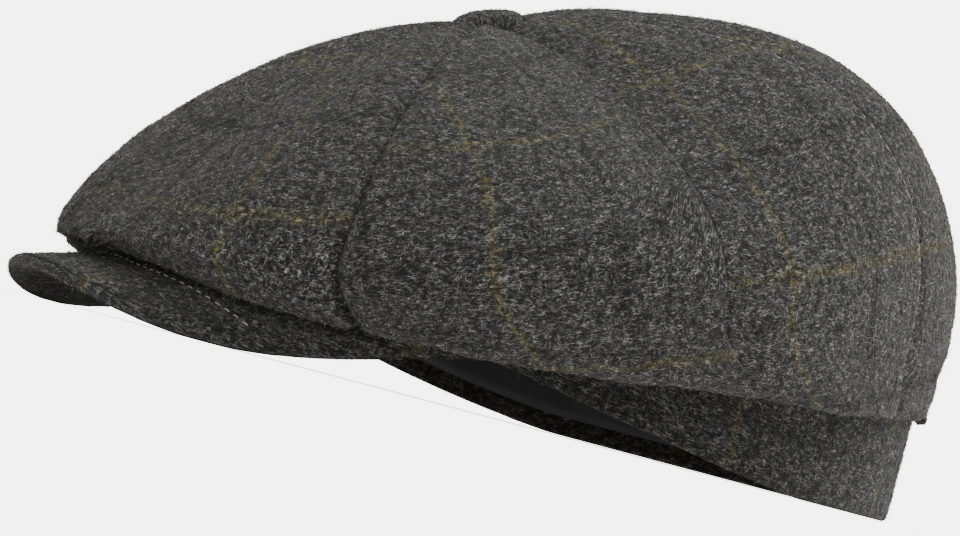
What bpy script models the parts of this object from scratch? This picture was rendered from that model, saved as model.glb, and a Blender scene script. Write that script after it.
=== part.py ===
"""Eight-panel newsboy cap of wool cloth, standing on the back of its headband and the sides of its peak.

The wearer's front is -Y, the left side is +X, and Z=0 is the surface that the cap lies on.
"""
from collections import namedtuple
from math import cos, pi, radians, sin

import bmesh
import bpy
import numpy as np

# Driving sizes, in metres
HEAD_LENGTH = 0.198
HEAD_WIDTH = 0.166
BAND_WALL = 0.0022
BAND_HEIGHT = 0.034
FRONT_LIFT = 0.0225
TURN_IN = 0.0055
CLOTH = 0.002
CROWN_HEIGHT = 0.1052
FRONT_OVERHANG = 0.0487
SIDE_OVERHANG = 0.0347
BACK_OVERHANG = 0.0036
BUTTON_FORWARD = 0.0505
PANEL_PUFF = 0.0016
BUTTON_DIAMETER = 0.019
BUTTON_HEIGHT = 0.004
PEAK_REACH = 0.0618
PEAK_THICKNESS = 0.0035
PEAK_ARCH = 0.0006
PEAK_CORNER = 0.0025
PEAK_SPAN = radians(160)
PEAK_BLUNTNESS = 0.81
LINING_WALL = 0.001
LINING_ROOM = 0.006
LINING_SQUARENESS = 2.4
LINING_TIP = radians(30)
LINING_SIDES = 4
EYE_DIAMETER = 0.0063
PANELS = 8

# Clearances between neighbouring pieces
SEAM_GAP = 0.0008
FIT_GAP = 0.0003
PEAK_GAP = 0.0007

# Shares and slopes of the crown's form: its slope at the button, rising towards the back, how much of
# the lip's roll lies on its outer side, how flat the underside leaves the band, and how far the seams
# sink for the puff between them
BUTTON_SLOPE = 0.27
LIP_ROUND = 0.7
TUCK_EASE = 0.4
SEAM_SINK = 0.6

# The band's lower edge: its height over the surface, as shares of FRONT_LIFT
Edge = namedtuple("Edge", "angle lift")
BAND_EDGE = (
    Edge(0, 1.00),
    Edge(45, 0.78),
    Edge(90, 0.20),
    Edge(135, -0.06),
    Edge(180, -0.02),
)

# The crown's widest line. forward, side and back are shares of the overhangs, height and shoulder are
# shares of CROWN_HEIGHT, and spread says how far the flat top runs out from the button.
Fold = namedtuple("Fold", "angle forward side back height shoulder rise spread")
CROWN_FOLD = (
    Fold(0, 1.00, 0.00, 0.0, 0.152, 0.06, 0.01, 0.42),
    Fold(45, 0.83, 0.63, 0.0, 0.285, 0.30, 0.03, 0.42),
    Fold(90, 0.38, 1.00, 0.0, 0.417, 0.23, -0.05, 0.46),
    Fold(135, 0.26, 0.69, 0.0, 0.473, 0.455, 0.13, 0.72),
    Fold(180, 0.00, 0.00, 1.0, 0.495, 0.45, 0.18, 0.66),
)

# The crown's lower lip. height and tuck are heights over the band's lower edge, as shares of BAND_HEIGHT:
# the lip's own, and that of the underside where it meets the band.
Lip = namedtuple("Lip", "angle forward side back height tuck")
CROWN_LIP = (
    Lip(0, 0.75, 0.00, 0.0, -0.15, 0.55),
    Lip(45, 0.58, 0.57, 0.0, -0.14, 0.48),
    Lip(90, -0.07, 0.74, 0.0, 0.54, 0.74),
    Lip(135, 0.17, 0.40, 0.0, 0.82, 0.90),
    Lip(180, 0.00, 0.00, 0.4, 0.93, 0.95),
)

# Drape folds pressed into the crown: angle from the front, place along the cloth, and half widths in
# degrees and along the cloth, with the depth as a share of CLOTH
Dent = namedtuple("Dent", "angle run across along depth")
CROWN_DENTS = (
    Dent(24, 1.45, 20, 0.20, 0.7),
    Dent(40, 0.84, 14, 0.16, 0.6),
    Dent(68, 1.55, 16, 0.22, 0.6),
    Dent(118, 1.30, 18, 0.22, 0.5),
    Dent(152, 0.72, 16, 0.14, 0.6),
)

# The peak from its middle out to its corner: the height of its lower side over the surface, at the
# outer edge and at the root, as shares of FRONT_LIFT
Arch = namedtuple("Arch", "share edge root")
PEAK_ARCHES = (
    Arch(0.0, 0.31, 0.95),
    Arch(0.44, 0.0, 0.99),
    Arch(0.70, 0.28, 0.90),
    Arch(1.0, 0.78, 0.78),
)

# The button's rings from its middle outwards: out is a share of its radius. The seat's rings lie on the
# crown, and the dome's rise over it by shares of BUTTON_HEIGHT.
Ring = namedtuple("Ring", "out lift")
BUTTON_SEAT = (0.12, 0.55, 0.94)
BUTTON_DOME = (
    Ring(1.00, 0.30),
    Ring(0.97, 0.62),
    Ring(0.80, 0.86),
    Ring(0.50, 0.97),
    Ring(0.14, 1.00),
)

# Mesh steps
PANEL_STEPS = 7
TOP_STEPS = 10
SIDE_STEPS = 6
TUCK_STEPS = 4
BAND_STEPS = 64
PEAK_STEPS = 28
PEAK_ROWS = 5
BUTTON_SIDES = 24
LINING_STEPS = 12
LINING_SIDE_RINGS = 4
LINING_TIP_RINGS = 6
TRACK_STEPS = 60

# Edges sharper than this are cut edges and stay crisp
CUT_EDGE = radians(50)

HALF_LENGTH = HEAD_LENGTH / 2 + BAND_WALL
HALF_WIDTH = HEAD_WIDTH / 2 + BAND_WALL
LINING_HEIGHT = CROWN_HEIGHT - LINING_ROOM

for old in list(bpy.data.objects):
    bpy.data.objects.remove(old, do_unlink=True)
cap = bpy.data.collections.new("flat_cap")
bpy.context.scene.collection.children.link(cap)


def even_wave(rows, column, angle):
    """Read a column that is the same on both sides of the cap, smoothly between its rows."""
    places = np.radians([row.angle for row in rows])
    orders = np.arange(len(rows))
    values = [getattr(row, column) for row in rows]
    weights = np.linalg.solve(np.cos(np.outer(places, orders)), values)
    return np.cos(np.multiply.outer(angle, orders)) @ weights


def odd_wave(rows, column, angle):
    """Read a column that changes sign across the cap's middle plane."""
    inner = rows[1:-1]
    places = np.radians([row.angle for row in inner])
    orders = np.arange(1, len(inner) + 1)
    values = [getattr(row, column) for row in inner]
    weights = np.linalg.solve(np.sin(np.outer(places, orders)), values)
    return np.sin(np.multiply.outer(angle, orders)) @ weights


def band_edge_height(angle):
    """Height of the band's lower edge, flat on the surface at the sides and back."""
    return np.maximum(0.0, FRONT_LIFT * even_wave(BAND_EDGE, "lift", angle))


def band_point(angle, height, out=0.0):
    """A point on the band's outer wall, moved out sideways by a clearance or a wall."""
    x = (HALF_WIDTH + out) * np.sin(angle)
    y = -(HALF_LENGTH + out) * np.cos(angle)
    return np.stack([x, y, height + 0.0 * x], -1)


def band_outward(angle):
    """The level direction square to the band's outer wall."""
    square = np.stack([np.sin(angle) * HALF_LENGTH, -np.cos(angle) * HALF_WIDTH, 0.0 * angle], -1)
    return square / np.linalg.norm(square, axis=-1, keepdims=True)


def overhang_point(rows, angle, height):
    """A point that stands out from the band by the rows' shares of the overhangs."""
    point = band_point(angle, height)
    point[..., 0] += SIDE_OVERHANG * odd_wave(rows, "side", angle)
    forward = FRONT_OVERHANG * even_wave(rows, "forward", angle)
    backward = BACK_OVERHANG * even_wave(rows, "back", angle)
    point[..., 1] += backward - forward
    room = CLOTH + FIT_GAP
    level = np.hypot(point[..., 0] / (HALF_WIDTH + room), point[..., 1] / (HALF_LENGTH + room))
    point[..., :2] /= np.minimum(level, 1.0)[..., None]
    return point


def bezier(start, first, second, end, share):
    """Points on cubic curves, one curve for each angle."""
    rest = 1 - share
    return (rest ** 3 * start + 3 * share * rest ** 2 * first
            + 3 * share ** 2 * rest * second + share ** 3 * end)


def crown_smooth(angle, run):
    """The crown without puff or dents. run is 0 at the button, 1 at the widest line, 2 at the lip and
    3 where the underside meets the band."""
    button = np.stack([0 * angle, 0 * angle - BUTTON_FORWARD, 0 * angle + CROWN_HEIGHT], -1)
    fold = overhang_point(CROWN_FOLD, angle, CROWN_HEIGHT * even_wave(CROWN_FOLD, "height", angle))
    edge = band_edge_height(angle)
    lip = overhang_point(CROWN_LIP, angle, edge + BAND_HEIGHT * even_wave(CROWN_LIP, "height", angle))
    behind = np.arctan2(lip[..., 0] / HALF_WIDTH, -lip[..., 1] / HALF_LENGTH)
    rise = BAND_HEIGHT * even_wave(CROWN_LIP, "tuck", angle)
    tuck = band_point(behind, band_edge_height(behind) + rise, FIT_GAP)
    up = np.array([0.0, 0.0, 1.0])

    top_first = button + even_wave(CROWN_FOLD, "spread", angle)[..., None] * (fold - button)
    lean = BUTTON_SLOPE * (top_first[..., 1] + BUTTON_FORWARD)
    top_first[..., 2] = CROWN_HEIGHT * (1 + even_wave(CROWN_FOLD, "rise", angle)) + lean
    top_second = fold + up * (CROWN_HEIGHT * even_wave(CROWN_FOLD, "shoulder", angle))[..., None]

    outward = band_outward(behind)
    roll = outward * ((fold - lip) * outward).sum(-1, keepdims=True)
    side_first = fold - up * (fold - lip)[..., 2:] / 2
    side_second = lip + LIP_ROUND * roll
    tuck_first = lip - (1 - LIP_ROUND) * roll
    tuck_second = tuck + TUCK_EASE * (lip - tuck)

    run = run[..., None]
    top = bezier(button, top_first, top_second, fold, np.clip(run, 0, 1))
    side = bezier(fold, side_first, side_second, lip, np.clip(run - 1, 0, 1))
    under = bezier(lip, tuck_first, tuck_second, tuck, np.clip(run - 2, 0, 1))
    return np.where(run < 1, top, np.where(run < 2, side, under))


def crown_slopes(angle, run):
    """How the smooth crown runs on round the cap, for each radian, and down the cloth."""
    small = 0.002
    around = crown_smooth(angle + small, run) - crown_smooth(angle - small, run)
    down = crown_smooth(angle, run + small) - crown_smooth(angle, run - small)
    return around / (2 * small), down / (2 * small)


def crown_normal(angle, run):
    """The direction out of the smooth crown."""
    around, down = crown_slopes(angle, run)
    normal = np.cross(down, around)
    tiny = 1e-12
    return normal / np.maximum(np.linalg.norm(normal, axis=-1, keepdims=True), tiny)


def seam_inset(angle, run):
    """The angle that moves half a seam gap square to the seam."""
    around, down = crown_slopes(angle, run)
    square = np.linalg.norm(np.cross(around, down), axis=-1) / np.linalg.norm(down, axis=-1)
    return SEAM_GAP / 2 / square


def crown_point(angle, run):
    """The crown's outer face, with each panel puffed between its seams and the drape folds pressed in."""
    panel = 2 * pi / PANELS
    share = np.mod(angle, panel) / panel
    free = np.sin(pi * np.clip(run / 2, 0, 1)) ** 0.5
    height = PANEL_PUFF * free * (np.abs(np.sin(pi * share)) - SEAM_SINK)
    turned = np.degrees(np.abs(np.mod(angle + pi, 2 * pi) - pi))
    for dent in CROWN_DENTS:
        away = ((turned - dent.angle) / dent.across) ** 2 + ((run - dent.run) / dent.along) ** 2
        height = height - CLOTH * dent.depth * np.exp(-away)
    return crown_smooth(angle, run) + height[..., None] * crown_normal(angle, run)


def cloth_material(name, colour, roughness):
    material = bpy.data.materials.new(name)
    material.use_nodes = True
    shader = material.node_tree.nodes["Principled BSDF"]
    shader.inputs["Base Color"].default_value = (*colour, 1.0)
    shader.inputs["Roughness"].default_value = roughness
    shader.inputs["Metallic"].default_value = 0.0
    material.diffuse_color = (*colour, 1.0)
    return material


def grid_object(name, points, material, closed=False):
    """An open surface through rows of points, joined end to end where it is closed."""
    rows, columns = points.shape[:2]
    mesh = bpy.data.meshes.new(name)
    form = bmesh.new()
    corners = [[form.verts.new(point) for point in row] for row in points]
    last = columns if closed else columns - 1
    for row in range(rows - 1):
        for column in range(last):
            after = (column + 1) % columns
            form.faces.new((corners[row][column], corners[row + 1][column],
                            corners[row + 1][after], corners[row][after]))
    form.to_mesh(mesh)
    form.free()
    mesh.shade_smooth()
    mesh.materials.append(material)
    piece = bpy.data.objects.new(name, mesh)
    cap.objects.link(piece)
    return piece


def cut_cloth_object(name, outer, inner, material):
    """A piece of cloth between two faces, its cut edges square to them, so that cut edges that are sewn
    together stay a seam gap apart through the cloth."""
    mesh = bpy.data.meshes.new(name)
    form = bmesh.new()
    faces = [[[form.verts.new(point) for point in row] for row in side] for side in (outer, inner)]
    rows, columns = outer.shape[:2]
    for row in range(rows - 1):
        for column in range(columns - 1):
            for side, corners in enumerate(faces):
                quad = (corners[row][column], corners[row + 1][column],
                        corners[row + 1][column + 1], corners[row][column + 1])
                form.faces.new(quad if side == 0 else quad[::-1])
    rim = [(0, column) for column in range(columns - 1)]
    rim += [(row, columns - 1) for row in range(rows - 1)]
    rim += [(rows - 1, column) for column in range(columns - 1, 0, -1)]
    rim += [(row, 0) for row in range(rows - 1, 0, -1)]
    front, back = faces
    for (row, column), (next_row, next_column) in zip(rim, rim[1:] + rim[:1]):
        form.faces.new((front[row][column], front[next_row][next_column],
                        back[next_row][next_column], back[row][column]))
    form.to_mesh(mesh)
    form.free()
    mesh.shade_smooth()
    mesh.set_sharp_from_angle(angle=CUT_EDGE)
    mesh.materials.append(material)
    piece = bpy.data.objects.new(name, mesh)
    cap.objects.link(piece)


def solidify(piece, thickness, offset):
    shell = piece.modifiers.new("wall", "SOLIDIFY")
    shell.thickness = thickness
    shell.offset = offset
    shell.use_even_offset = False
    shell.use_quality_normals = True
    return shell


tweed = cloth_material("grey_wool_tweed", (0.058, 0.057, 0.055), 0.95)


# Crown: eight gores round the button, a small gap apart at the seams

def panel_points(index):
    """Rows down one gore's outer and inner faces, closest at the lip where the cloth turns under, with
    its edges held half a seam gap inside the seams."""
    start = 2 * pi * index / PANELS
    width = 2 * pi / PANELS
    hub = EYE_DIAMETER / 2 / HALF_WIDTH
    runs = np.concatenate([
        hub + (1 - hub) * np.linspace(0, 1, TOP_STEPS + 1),
        1 + np.sin(pi / 2 * np.linspace(0, 1, SIDE_STEPS + 1)[1:]),
        2 + np.linspace(0, 1, TUCK_STEPS + 1)[1:] ** 2,
    ])
    outer = []
    inner = []
    for run in runs:
        level = np.full(PANEL_STEPS + 1, run)
        seams = np.array([start, start + width])
        inset = seam_inset(seams, level[:2])
        angles = np.linspace(seams[0] + inset[0], seams[1] - inset[1], PANEL_STEPS + 1)
        outer.append(crown_point(angles, level))
        inner.append(outer[-1] - CLOTH * crown_normal(angles, level))
    return np.array(outer), np.array(inner)


for index in range(PANELS):
    outer, inner = panel_points(index)
    cut_cloth_object(f"crown_panel_{index + 1}", outer, inner, tweed)


# Button: a cloth-covered dome on the crown's top, its underside following the panels

def crown_height_at(angle, distance):
    """Height of the crown at a level distance from the button's middle."""
    runs = np.linspace(0.0, 0.5, TRACK_STEPS)
    track = crown_point(np.full(TRACK_STEPS, angle), runs)
    away = np.linalg.norm(track[:, :2] - track[0, :2], axis=1)
    return np.interp(distance, away, track[:, 2])


def button_points():
    """Rings from the middle of the underside out to the edge and up over the dome."""
    radius = BUTTON_DIAMETER / 2
    turns = np.linspace(0, 2 * pi, BUTTON_SIDES, endpoint=False)
    rings = []
    for out in BUTTON_SEAT:
        heights = np.array([crown_height_at(turn, out * radius) for turn in turns])
        rings.append((out, heights + FIT_GAP))
    for ring in BUTTON_DOME:
        slope = -BUTTON_SLOPE * ring.out * radius * np.cos(turns)
        rings.append((ring.out, CROWN_HEIGHT + slope + ring.lift * BUTTON_HEIGHT))
    return np.array([
        np.stack([out * radius * np.sin(turns), -out * radius * np.cos(turns) - BUTTON_FORWARD, height], -1)
        for out, height in rings
    ])


def fill_openings(piece, lowest):
    """Close the open ends of a turned piece that lie higher than a given height."""
    form = bmesh.new()
    form.from_mesh(piece.data)
    rim = [edge for edge in form.edges if edge.is_boundary and edge.verts[0].co.z > lowest]
    bmesh.ops.holes_fill(form, edges=rim)
    bmesh.ops.recalc_face_normals(form, faces=form.faces)
    form.to_mesh(piece.data)
    form.free()


button = grid_object("button", button_points(), tweed, closed=True)
fill_openings(button, 0.0)


# Band: an upright strip round the head opening, flat on the surface at the back

def band_points():
    angles = np.linspace(0, 2 * pi, BAND_STEPS, endpoint=False)
    edge = band_edge_height(angles)
    return np.array([band_point(angles, edge + share * BAND_HEIGHT) for share in (1.0, 0.5, 0.0)])


band = grid_object("band", band_points(), tweed, closed=True)
solidify(band, BAND_WALL, -1.0)


# Peak: a stiff arched crescent, its root against the band and the sides of its edge on the surface

def peak_height(column, share):
    """Height of the peak's lower side, the same to both sides of the middle."""
    squares = np.square([row.share for row in PEAK_ARCHES])
    lifts = [getattr(row, column) for row in PEAK_ARCHES]
    weights = np.linalg.solve(np.vander(squares, len(squares)), lifts)
    return np.maximum(0.0, FRONT_LIFT * np.vander(np.square(share), len(squares)) @ weights)


def peak_points():
    """Rows from the root out to the edge."""
    share = np.linspace(-1, 1, PEAK_STEPS + 1)
    turn = share * pi / 2
    root_angle = share * PEAK_SPAN / 2
    root = band_point(root_angle, peak_height("root", share), PEAK_GAP)
    corner = band_point(np.array(PEAK_SPAN / 2), 0.0, PEAK_GAP)
    tip = HALF_LENGTH + PEAK_REACH
    x = (corner[0] + PEAK_CORNER) * np.sin(turn)
    y = corner[1] - (tip + corner[1]) * np.maximum(np.cos(turn), 0.0) ** PEAK_BLUNTNESS
    edge = np.stack([x, y, peak_height("edge", share)], -1)
    rows = []
    for out in np.linspace(0, 1, PEAK_ROWS + 1):
        row = root + out * (edge - root)
        row[:, 2] += PEAK_ARCH * 4 * out * (1 - out) * np.cos(turn)
        rows.append(row)
    return np.array(rows)


peak = grid_object("peak", peak_points()[::-1], tweed)
solidify(peak, PEAK_THICKNESS, -1.0)


# Lining: side strips up the inside of the band, and a tip that closes the dome over them, open below

lining_cloth = cloth_material("black_lining", (0.012, 0.012, 0.012), 0.6)


def lining_ring(angles, turn):
    """The lining's outer face where it has turned in from the band's line towards its top."""
    power = 2 / LINING_SQUARENESS
    shoulder = band_edge_height(angles) + BAND_HEIGHT
    height = shoulder + sin(turn) ** power * (LINING_HEIGHT - shoulder)
    ring = band_point(angles, height, -BAND_WALL - FIT_GAP)
    ring[:, :2] *= cos(turn) ** power
    return ring


def lining_side_points(index, half_gap):
    """Rows from one strip's lower edge up to its seam with the tip."""
    width = 2 * pi / LINING_SIDES
    angles = np.linspace(index * width + half_gap, (index + 1) * width - half_gap, LINING_STEPS + 1)
    foot = band_point(angles, band_edge_height(angles) + TURN_IN, -BAND_WALL - FIT_GAP)
    turns = np.linspace(0, LINING_TIP - half_gap, LINING_SIDE_RINGS)
    return np.array([foot] + [lining_ring(angles, turn) for turn in turns])


def lining_tip_points(half_gap):
    """Rings from the tip's seam up to the flat middle of the dome."""
    angles = np.linspace(0, 2 * pi, LINING_SIDES * LINING_STEPS, endpoint=False)
    turns = np.linspace(LINING_TIP + half_gap, pi / 2, LINING_TIP_RINGS)[:-1]
    return np.array([lining_ring(angles, turn) for turn in turns])


half_gap = SEAM_GAP / 2 / HALF_WIDTH
for index in range(LINING_SIDES):
    strip = lining_side_points(index, half_gap)
    side = grid_object(f"lining_side_{index + 1}", strip[::-1], lining_cloth)
    solidify(side, LINING_WALL, -1.0)

dome = lining_tip_points(half_gap)
tip = grid_object("lining_tip", dome[::-1], lining_cloth, closed=True)
fill_openings(tip, (dome[0, :, 2].max() + LINING_HEIGHT) / 2)
solidify(tip, LINING_WALL, -1.0)


# The origin: the middle of the cap's box, on the surface

bpy.context.view_layer.update()
graph = bpy.context.evaluated_depsgraph_get()
reach = []
for piece in cap.objects:
    evaluated = piece.evaluated_get(graph)
    reach.extend(corner[1] for corner in evaluated.bound_box)
middle = (min(reach) + max(reach)) / 2
for piece in cap.objects:
    for vertex in piece.data.vertices:
        vertex.co.y -= middle
    piece.data.update()
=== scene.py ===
from collections import namedtuple
from math import cos, pi, radians, sin

import bpy
import numpy as np
from mathutils import Matrix, Vector


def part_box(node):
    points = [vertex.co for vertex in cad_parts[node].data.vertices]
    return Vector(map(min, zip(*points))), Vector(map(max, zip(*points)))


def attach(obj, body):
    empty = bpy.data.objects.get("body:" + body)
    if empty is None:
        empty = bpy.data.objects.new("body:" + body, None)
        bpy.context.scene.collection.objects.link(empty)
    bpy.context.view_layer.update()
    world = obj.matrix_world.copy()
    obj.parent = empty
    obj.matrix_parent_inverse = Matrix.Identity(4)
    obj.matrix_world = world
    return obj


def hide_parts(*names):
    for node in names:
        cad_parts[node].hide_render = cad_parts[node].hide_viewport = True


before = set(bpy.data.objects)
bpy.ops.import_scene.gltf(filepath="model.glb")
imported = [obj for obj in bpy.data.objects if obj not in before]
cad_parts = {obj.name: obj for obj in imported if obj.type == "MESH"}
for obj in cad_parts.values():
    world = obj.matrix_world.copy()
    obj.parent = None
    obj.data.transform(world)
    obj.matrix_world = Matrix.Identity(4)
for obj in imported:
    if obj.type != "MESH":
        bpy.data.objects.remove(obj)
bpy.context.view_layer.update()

# Headband: an upright strip of the same tweed as the crown, 34 mm high, doubled over a canvas and sewn
# round the head opening. It shows at the sides and back, and its lower edge is turned in over the lining.

# Lengths are in metres, unless a name says that they are in millimetres
BAND_WALL = 0.0022
BAND_HEIGHT = 0.034
FRONT_LIFT = 0.0225
BAND_COLUMNS = 200
BAND_ROWS = 8

# One repeat of the check, and where it starts on the band: up each of its two strips and round it, in
# repeats. BACK_SEAM is how far round the strips' seam at the back reaches, in radians.
REPEAT_MM = 68
STRIP_STARTS = (0.27, 0.955)
ROUND_START = 0.64
BACK_SEAM = 0.002

band_low, band_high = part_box("band")
HALF_WIDTH = (band_high[0] - band_low[0]) / 2
HALF_LENGTH = (band_high[1] - band_low[1]) / 2
OPENING = np.array([0.0, (band_high[1] + band_low[1]) / 2, 0.0])

# The band's lower edge: its height over the floor, as shares of FRONT_LIFT
Edge = namedtuple("Edge", "angle lift")
BAND_EDGE = (
    Edge(0, 1.00),
    Edge(45, 0.78),
    Edge(90, 0.20),
    Edge(135, -0.06),
    Edge(180, -0.02),
)


def even_wave(rows, column, angle):
    """Read a column that is the same on both sides of the cap, smoothly between its rows' angles."""
    places = np.radians([row.angle for row in rows])
    orders = np.arange(len(rows))
    values = [getattr(row, column) for row in rows]
    weights = np.linalg.solve(np.cos(np.outer(places, orders)), values)
    return np.cos(np.multiply.outer(angle, orders)) @ weights


def band_edge_height(angle):
    return np.maximum(0.0, FRONT_LIFT * even_wave(BAND_EDGE, "lift", angle))


def band_point(angle, height, out=0.0):
    """A point on the band's outer wall, moved out sideways by a clearance or a wall."""
    x = (HALF_WIDTH + out) * np.sin(angle)
    y = -(HALF_LENGTH + out) * np.cos(angle)
    return np.stack([x, y, height + 0.0 * x], -1)


def walked(points, axis=0):
    """How far each point lies along its line of points, from the line's first one."""
    first = np.take(points, [0], axis=axis)
    return np.linalg.norm(np.diff(points, axis=axis, prepend=first), axis=-1).cumsum(axis)


def unit(ways):
    return ways / np.maximum(np.linalg.norm(ways, axis=-1, keepdims=True), 1e-12)


def linear(code):
    """An sRGB hex value as a linear colour."""
    parts = [int(code[place:place + 2], 16) / 255 for place in (1, 3, 5)]
    parts = [part / 12.92 if part <= 0.04045 else ((part + 0.055) / 1.055) ** 2.4 for part in parts]
    return parts + [1.0]


def add_node(tree, kind, inputs=None, **settings):
    """Add a node with its settings, and fill its inputs with values or link them to other sockets."""
    made = tree.nodes.new(kind)
    for name, value in settings.items():
        setattr(made, name, value)
    for name, value in (inputs or {}).items():
        if isinstance(value, bpy.types.NodeSocket):
            tree.links.new(value, made.inputs[name])
        else:
            made.inputs[name].default_value = value
    return made


def new_material(name):
    material = bpy.data.materials.new(name)
    material.use_nodes = True
    tree = material.node_tree
    return material, tree, tree.nodes["Principled BSDF"]


CLUMP_SIZE = 0.0019


def clumps(tree):
    """The cloth's larger mottling: pale and dark wool that lies in clumps about 2 mm across."""
    places = add_node(tree, "ShaderNodeTexCoord").outputs["Object"]
    lumps = {"Vector": places, "Scale": 1 / CLUMP_SIZE, "Detail": 3.0, "Roughness": 0.6}
    lumps = add_node(tree, "ShaderNodeTexNoise", lumps).outputs[0]
    spread = {"Value": lumps, "From Min": 0.35, "From Max": 0.65, "To Min": 0.25, "To Max": 1.85}
    return add_node(tree, "ShaderNodeMapRange", spread).outputs[0]


def woollen_tweed():
    """Fulled woollen tweed: melange yarn whose weave is felted over, so the eye sees short pale and dark
    fibres lying every way, with ochre and charcoal overcheck lines that the felting has blurred. The UV
    map counts repeats of the check: ochre lines lie at whole numbers, and charcoal ones midway."""
    material, tree, shader = new_material("fulled_woollen_tweed")

    def maths(operation, *values):
        inputs = dict(enumerate(values))
        return add_node(tree, "ShaderNodeMath", inputs, operation=operation).outputs[0]

    def ramp(value, low, high):
        inputs = {"Value": value, "From Min": low, "From Max": high}
        return add_node(tree, "ShaderNodeMapRange", inputs, interpolation_type="SMOOTHSTEP").outputs[0]

    def tint(factor, first, second):
        inputs = {0: factor, 6: first, 7: second}
        return add_node(tree, "ShaderNodeMix", inputs, data_type="RGBA").outputs[2]

    repeats = add_node(tree, "ShaderNodeUVMap", uv_map="UVMap").outputs[0]
    scaled = {0: repeats, "Scale": REPEAT_MM}
    millimetres = add_node(tree, "ShaderNodeVectorMath", scaled, operation="SCALE").outputs[0]

    def patches(size_mm, detail, distortion=0.0):
        inputs = {"Vector": millimetres, "Scale": 1 / size_mm, "Detail": detail, "Distortion": distortion}
        return add_node(tree, "ShaderNodeTexNoise", inputs, noise_dimensions="2D").outputs[0]

    def lying_fibres(turn, width_mm, length_mm):
        turned = {"Vector": millimetres, "Rotation": (0, 0, radians(turn)),
                  "Scale": (1 / length_mm, 1 / width_mm, 1)}
        lengthwise = add_node(tree, "ShaderNodeMapping", turned).outputs[0]
        inputs = {"Vector": lengthwise, "Scale": 1.0, "Detail": 2.0, "Distortion": 1.0}
        return add_node(tree, "ShaderNodeTexNoise", inputs, noise_dimensions="2D").outputs[0]

    # Fibres lie in four directions, drawn over ten times as wide as wool is, so that they show. A pale one
    # lies on top where any direction is bright. Where all are dark, the cloth is painted darker, as painted
    # shade down between the fibres.
    first = lying_fibres(12, 0.44, 1.9)
    second = lying_fibres(68, 0.42, 1.7)
    third = lying_fibres(-38, 0.44, 1.8)
    fourth = lying_fibres(-80, 0.40, 1.6)
    top = maths("MAXIMUM", maths("MAXIMUM", first, second), maths("MAXIMUM", third, fourth))
    low = maths("MINIMUM", maths("MINIMUM", first, third), maths("MINIMUM", second, fourth))
    pale = ramp(top, 0.62, 0.76)
    # Painted shade masks: the gaps between the fibres, and small pits in the felt's face
    gap_shade = ramp(low, 0.40, 0.26)
    grain = ramp(patches(0.75, 3.0, 0.4), 0.36, 0.64)
    pit_shade = ramp(patches(1.3, 2.0, 0.8), 0.47, 0.34)
    warmth = ramp(patches(1.7, 2.0, 0.5), 0.40, 0.62)
    cloud = patches(9.0, 3.0)

    def line(axis, shift, half_mm, blur_mm):
        """How much of a check line lies here, across one of the two ways of the cloth."""
        parts = add_node(tree, "ShaderNodeSeparateXYZ", {0: repeats})
        wander = maths("MULTIPLY", maths("SUBTRACT", patches(2.6, 3.0, 0.3), 0.5), 2.0 / REPEAT_MM)
        across = maths("ADD", maths("ADD", parts.outputs[axis], shift + 0.5), wander)
        away = maths("ABSOLUTE", maths("SUBTRACT", maths("FRACT", across), 0.5))
        return ramp(maths("MULTIPLY", away, REPEAT_MM), half_mm + blur_mm, half_mm - blur_mm)

    ochre = maths("ADD", line(0, 0.0, 1.5, 1.5), line(1, 0.0, 1.4, 1.5))
    broken = ramp(patches(1.2, 3.0, 0.8), 0.44, 0.62)
    ochre = maths("MULTIPLY", ochre, maths("ADD", maths("MULTIPLY", broken, 0.58), 0.05))
    charcoal = maths("ADD", line(0, 0.5, 1.5, 1.1), line(1, 0.5, 1.3, 1.1))
    charcoal = maths("MULTIPLY", charcoal, 0.8)

    melange = tint(warmth, linear("#32373a"), linear("#3c382f"))
    colour = tint(grain, linear("#121212"), melange)
    # Painted shade: near black painted into the gaps between the fibres and into the small pits
    colour = tint(maths("MULTIPLY", gap_shade, 0.85), colour, linear("#060606"))
    colour = tint(maths("MULTIPLY", pit_shade, 0.8), colour, linear("#0a0a0a"))
    colour = tint(charcoal, colour, linear("#0e0e0e"))
    colour = tint(maths("MINIMUM", ochre, 0.7), colour, linear("#5c501f"))
    colour = tint(maths("MULTIPLY", pale, 0.55), colour, linear("#95948f"))
    brightness = maths("MULTIPLY", clumps(tree), maths("ADD", maths("MULTIPLY", cloud, 0.5), 0.75))
    shaded = {0: colour, "Scale": brightness}
    shaded = add_node(tree, "ShaderNodeVectorMath", shaded, operation="SCALE").outputs[0]
    tree.links.new(shaded, shader.inputs["Base Color"])

    relief = maths("ADD", top, maths("MULTIPLY", low, 0.7))
    relief = maths("ADD", relief, maths("MULTIPLY", patches(2.2, 2.0), 1.3))
    felt = {"Height": relief, "Strength": 1.0, "Distance": 0.0007}
    bump = add_node(tree, "ShaderNodeBump", felt)
    tree.links.new(bump.outputs[0], shader.inputs["Normal"])
    shader.inputs["Roughness"].default_value = 0.95
    shader.inputs["Specular IOR Level"].default_value = 0.25
    shader.inputs["Sheen Weight"].default_value = 0.08
    shader.inputs["Sheen Roughness"].default_value = 0.5
    return material


def read_all(items, field, width, kind):
    """One field of all the items of a mesh, as rows of numbers."""
    values = np.empty(len(items) * width, dtype=kind)
    items.foreach_get(field, values)
    return values.reshape(-1, width)


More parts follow.
